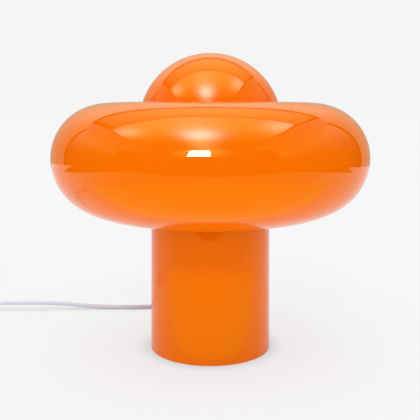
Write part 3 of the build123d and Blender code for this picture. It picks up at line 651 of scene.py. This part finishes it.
def mirrored_room():
    """What the gloss mirrors, as read from the photograph: a dark room in front, dim at
    both sides, soft boxes overhead, a window, a white table and the sweep behind it."""
    # Heights in metres of the ceiling, the soft boxes' dark frames and their cloth, the
    # tall walls and the sweep
    ceiling, frames, cloth, tall, sweep_top = 1.56, 1.53, 1.5, 2.4, 2.6
    # The room's near and far edge, and its far corners
    near, back, left_corner, right_corner = -2.35, 1.0, (-2.04, 0.89), (1.56, 0.88)
    # The table's sides, its near and rear edge, the reach of its lit round in front of the
    # lamp, and a hair's height above the paper
    left, right, table_near, table_rear = -1.15, 1.12, -0.894, -0.27
    lit_reach, low = 0.575, 0.0006
    # A glow that stays even along an axis has this spread there
    even = 99

    dark = lit("unlit_room", 0.0)
    side_light = lit("side_wall", 0.02, [((0.9, 0.9, 0.7), (0, 0, 1.4), (30.0, 30.0, 0.5))])
    card("left_wall", walls(left_corner, (-3.2, -1.5), high=ceiling), side_light)
    card("right_wall", walls((3.0, -2.8), right_corner, high=ceiling), side_light)
    card("left_stand", walls((-1.98, back), left_corner, high=ceiling), dark)
    card("right_stand", walls(right_corner, (1.49, back), high=ceiling), dark)
    room_ends = ((-3.2, -1.5), (-1.8, -3.6), (1.8, -3.6), (3.0, -2.8))
    card("dark_room", walls(*room_ends, high=tall), dark)
    paler_above = [
        ((0.5, 0.5, 0.35), (0, 0, 0), (even, even, even)),
        ((0.9, 0.9, 0.75), (0, 0, 2.4), (even, even, 1.0)),
    ]
    sweep_ends = ((-1.98, back), (-1.6, 2.2), (1.2, 2.2), (1.49, back))
    card("sweep_behind", walls(*sweep_ends, high=sweep_top), lit("sweep", 0.0, paler_above))
    overhead = flat(ceiling, (-4, near), (4, near), (4, back), (-4, back))
    card("ceiling", [overhead], lit("dim_ceiling", 0.6))
    frame_edge = ((-1.5, back), (1.2, back), (1.06, 0.0), (1.3, near), (-1.95, near), (-1.46, 0.0))
    card("softbox_frames", [flat(frames, *frame_edge)], dark)
    card(
        "dark_room_floor",
        [
            flat(low, (-4, -4), (4, -4), (4, table_near), (-4, table_near)),
            flat(low, (-4, table_near), (left, table_near), (left, 0.55), (-4, 0.55)),
            flat(low, (right, table_near), (4, table_near), (4, 0.40), (right, 0.40)),
        ],
        dark,
    )
    table = ((left, table_near), (right, table_near), (right, table_rear), (left, table_rear))
    card("table_front", [flat(low, *table)], lit("shaded_table_front", 0.75))
    # The lit round of the table in front of the lamp, cut straight just before it
    bearings = [radians(bearing) for bearing in range(190, 351, 5)]
    lit_round = [(lit_reach * cos(a), lit_reach * sin(a)) for a in bearings]
    near_lamp = [((1.42, 1.42, 0.62), (0, 0, 0), (1.05, 1.05, even))]
    card("bright_table", [flat(2 * low, *lit_round)], lit("lit_table", 0.0, near_lamp))
    # The bulb's hot spot behind the cloth, its streak to the front, and the paler ends
    cloth_glows = [
        ((8.0, 10.0, 62.0), (-0.15, -1.0, cloth), (0.27, 0.34, 1.0)),
        ((4.0, 4.6, 10.0), (-0.18, -1.7, cloth), (0.28, 1.3, 1.0)),
        ((2.6, 2.9, 1.6), (-0.2, -0.35, cloth), (1.4, 0.75, 1.0)),
        ((4.0, 4.3, 10.0), (-1.22, -0.38, cloth), (0.3, 0.3, 1.0)),
        ((4.0, 4.3, 10.0), (0.86, -0.25, cloth), (0.26, 0.36, 1.0)),
    ]
    front_edge = ((-1.38, 0.045), (0.98, 0.045), (1.22, near), (-1.87, near))
    card("front_softbox", [flat(cloth, *front_edge)], lit("softbox_cloth", 0.15, cloth_glows))
    wall_glow = [((4.2, 5.0, 6.0), (-0.35, -3.2, 1.75), (0.8, 1.0, 0.8))]
    window_wall = walls((-2.0, -3.21), (1.3, -3.21), low=1.12, high=tall)
    card("lit_window_wall", window_wall, lit("window_wall", 0.0, wall_glow))
    rear_glow = [((1.7, 1.8, 0.8), (0.0, 0.3, cloth), (1.0, 0.75, 1.0))]
    rear_edge = ((-1.2, 0.075), (1.0, 0.075), (1.05, 0.86), (-1.3, 0.86))
    card("rear_softbox", [flat(cloth, *rear_edge)], lit("rear_cloth", 0.2, rear_glow))
    pane_glow = [((40.0, 50.0, 200.0), (-0.4, -3.2, 1.3), (9.0, 9.0, 9.0))]
    pane = [(-0.88, -3.2, 1.15), (0.0, -3.2, 1.15), (0.0, -3.2, 1.86), (-0.78, -3.2, 1.86)]
    card("front_window", [pane], lit("window_pane", 0.0, pane_glow))


# ---------------------------------------------------------------- build
bpy.context.scene.view_settings.view_transform = "Standard"
set_camera()
slots = finishes()
lacquer, lining = slots["orange_lacquer"], slots["lining"]

lead = lead_curve("mains_lead", lead_run, slots["cord_jacket"])
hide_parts("cord_free")
coil = lead_curve("coiled_lead", coil_points(), slots["cord_jacket"])
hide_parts("cord_coil")

ring_shade(lacquer, lining)
dome(lacquer, lining)
drum(lacquer)
dress(slots)

paper_floor()
studio_world()
studio_lamps()
mirrored_room()
